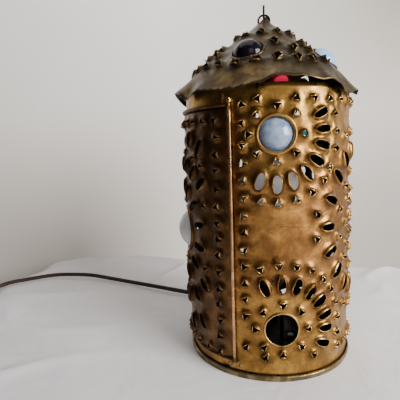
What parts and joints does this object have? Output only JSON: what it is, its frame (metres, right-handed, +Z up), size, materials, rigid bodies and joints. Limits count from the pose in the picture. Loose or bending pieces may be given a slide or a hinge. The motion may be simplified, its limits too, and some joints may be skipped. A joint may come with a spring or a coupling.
{
  "type": "moroccan metal lantern",
  "caption": "Pierced brass cylindrical lantern with glass jewels, conical ruffled roof, hinged door, hanging ring and an electric lamp with a cord.",
  "frame": {"origin": "centre of the base pan's underside, on the table", "axes": "+Z up along the body tube; the upper front jewel faces -Y and the door is on the -X side"},
  "size_m": [0.4536, 0.2802, 0.3026],
  "materials": {
    "body_brass": "aged, lacquer worn, warm brown patina",
    "door_brass": "aged, darker brown patina",
    "roof_brass": "dull grey-brown patina",
    "dark_wire": "blackened wire",
    "amethyst_glass": "polished, nearly black purple",
    "blue_glass": "milky light blue",
    "red_glass": "polished red",
    "smoke_glass": "polished smoke grey",
    "opal_glass": "milky opal",
    "teal_glass": "polished teal",
    "amber_glass": "polished amber",
    "green_glass": "polished green",
    "white_opal_glass": "milky grey-white opal",
    "lamp_steel": "dull plated steel",
    "socket_bronze": "dark bronze lacquer",
    "liner_fibre": "vulcanised fibre",
    "black_plastic": "moulded black",
    "contact_brass": "clean",
    "bulb_aluminium": "satin",
    "bulb_frost": "frosted",
    "clear_glass": "clear",
    "filament_wire": "drawn wire",
    "black_rubber": "matt",
    "cord_brown": "brown vinyl"
  },
  "bodies": {
    "lantern": {"body_shell": "body_brass", "base_pan": "body_brass", "roof": "roof_brass", "roof_tabs": "body_brass", "roof_bezels": "roof_brass", "roof_jewel_cups": "body_brass", "roof_jewel_amethyst": "amethyst_glass", "roof_jewel_blue": "blue_glass", "roof_jewel_red": "red_glass", "roof_jewel_smoke": "smoke_glass", "apex_loop": "dark_wire", "body_bezels": "body_brass", "body_jewel_cups": "body_brass", "front_jewel_opal": "opal_glass", "rear_jewel_teal": "teal_glass", "rear_jewel_amber": "amber_glass", "rear_jewel_green": "green_glass", "hinge_pin": "body_brass", "hinge_eyes": "body_brass", "latch_rivet": "body_brass", "latch_spacer": "body_brass", "socket_strap": "lamp_steel", "strap_rivets": "lamp_steel", "strap_nipple": "lamp_steel", "lock_nut": "lamp_steel", "socket_cap": "socket_bronze", "socket_shell": "socket_bronze", "socket_sleeve": "liner_fibre", "socket_insulator": "black_plastic", "terminal_screws": "lamp_steel", "screw_shell": "contact_brass", "centre_contact": "contact_brass", "cord_grommet": "black_rubber", "cord": "cord_brown", "plug_body": "cord_brown", "plug_blades": "contact_brass"},
    "door": {"door_panel": "door_brass", "door_rim_wires": "door_brass", "door_bezel": "door_brass", "door_jewel": "white_opal_glass", "door_jewel_cup": "door_brass"},
    "latch": {"latch_button": "body_brass"},
    "ring": {"hanging_ring": "dark_wire"},
    "bulb": {"bulb_cap": "bulb_aluminium", "bulb_insulator": "black_plastic", "bulb_contact": "bulb_aluminium", "bulb_glass": "bulb_frost", "bulb_stem": "clear_glass", "bulb_filament": "filament_wire"}
  },
  "joints": [
    {"name": "door_hinge", "type": "hinge", "parent": "lantern", "child": "door", "pos_m": [-0.03469, -0.06309, 0.1137], "axis": [0, 0, 1], "range_deg": [0, 110]},
    {"name": "latch_turn", "type": "hinge", "parent": "lantern", "child": "latch", "pos_m": [-0.04025, 0.06198, 0.1137], "axis": [-0.5446, 0.8387, 0], "range_deg": [0, 90]},
    {"name": "ring_tilt", "type": "hinge", "parent": "lantern", "child": "ring", "pos_m": [0, 0, 0.292], "axis": [0.1305, 0.9914, 0], "range_deg": [-100, 100]},
    {"name": "bulb_turn", "type": "hinge", "parent": "lantern", "child": "bulb", "pos_m": [0, 0, 0.08], "axis": [0, 0, 1], "continuous": true}
  ]
}
